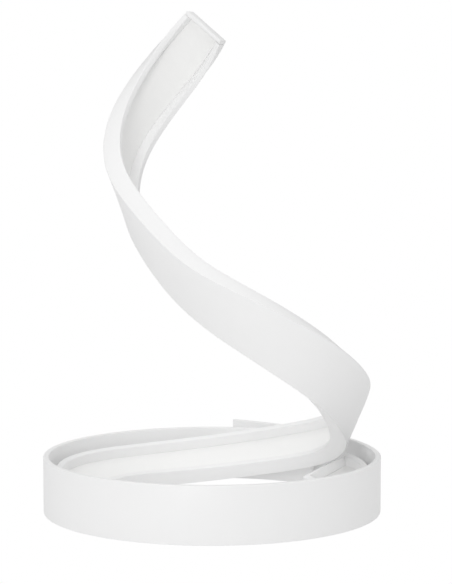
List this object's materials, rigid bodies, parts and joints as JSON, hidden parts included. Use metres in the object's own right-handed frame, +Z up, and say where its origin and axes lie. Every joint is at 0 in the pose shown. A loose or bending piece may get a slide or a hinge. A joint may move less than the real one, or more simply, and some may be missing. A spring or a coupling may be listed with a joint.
{
  "type": "spiral table lamp",
  "caption": "Table lamp: a channel ribbon with a sunk milky diffuser lies in a low ring base and climbs in one loose spiral to a free squared tip.",
  "frame": {"origin": "on the table, under the middle of the whole shape; the base ring's centre is 11 mm towards -Y from it", "axes": "+Z up; -Y is the front, which faces the viewer; +X is to the viewer's right"},
  "size_m": [0.1801, 0.2024, 0.2674],
  "materials": {
    "painted_white": "matt white powder coat",
    "milky_diffuser": "satin translucent, unlit",
    "black_plastic": "moulded matt",
    "zinc_steel": "zinc plated",
    "ballast_iron": "as cast",
    "grey_rubber": "matt",
    "circuit_board": "green solder mask",
    "tape_white": "white solder mask",
    "nylon": "natural",
    "nickel": "nickel plated",
    "lead_sheath": "extruded sheath"
  },
  "bodies": {
    "lamp": {"ballast_1": "ballast_iron", "ballast_2": "ballast_iron", "base_band": "painted_white", "board_screw_1": "zinc_steel", "board_screw_2": "zinc_steel", "bottom_cover": "zinc_steel", "button_lead": "lead_sheath", "button_spring": "zinc_steel", "button_switch": "black_plastic", "channel_diffuser": "milky_diffuser", "channel_saddle_1": "nylon", "channel_saddle_2": "nylon", "channel_saddle_3": "nylon", "cover_screw_1": "zinc_steel", "cover_screw_2": "zinc_steel", "cover_screw_3": "zinc_steel", "cover_screw_4": "zinc_steel", "cover_screw_5": "zinc_steel", "cover_screw_6": "zinc_steel", "cover_screw_7": "zinc_steel", "dc_inlet": "black_plastic", "driver_board": "circuit_board", "driver_capacitor": "black_plastic", "driver_chip": "black_plastic", "driver_coil": "black_plastic", "driver_terminal": "circuit_board", "inlet_contact": "nickel", "inlet_lead": "lead_sheath", "inlet_nut": "nickel", "insulating_sheet": "nylon", "led_tape": "tape_white", "rubber_foot_1": "grey_rubber", "rubber_foot_2": "grey_rubber", "rubber_foot_3": "grey_rubber", "rubber_foot_4": "grey_rubber", "rubber_foot_5": "grey_rubber", "rubber_foot_6": "grey_rubber", "spiral_channel": "painted_white", "switch_board": "circuit_board", "tail_cap": "painted_white", "tape_lead": "lead_sheath", "tip_cap": "painted_white"},
    "button": {"dimmer_button": "painted_white"}
  },
  "joints": [
    {"name": "dimmer_press", "type": "slide", "parent": "lamp", "child": "button", "axis": [0.8988, -0.4384, 0], "range_m": [0, 0.0015], "stiffness_N_per_m": 400, "deforming": ["button_spring"]}
  ]
}
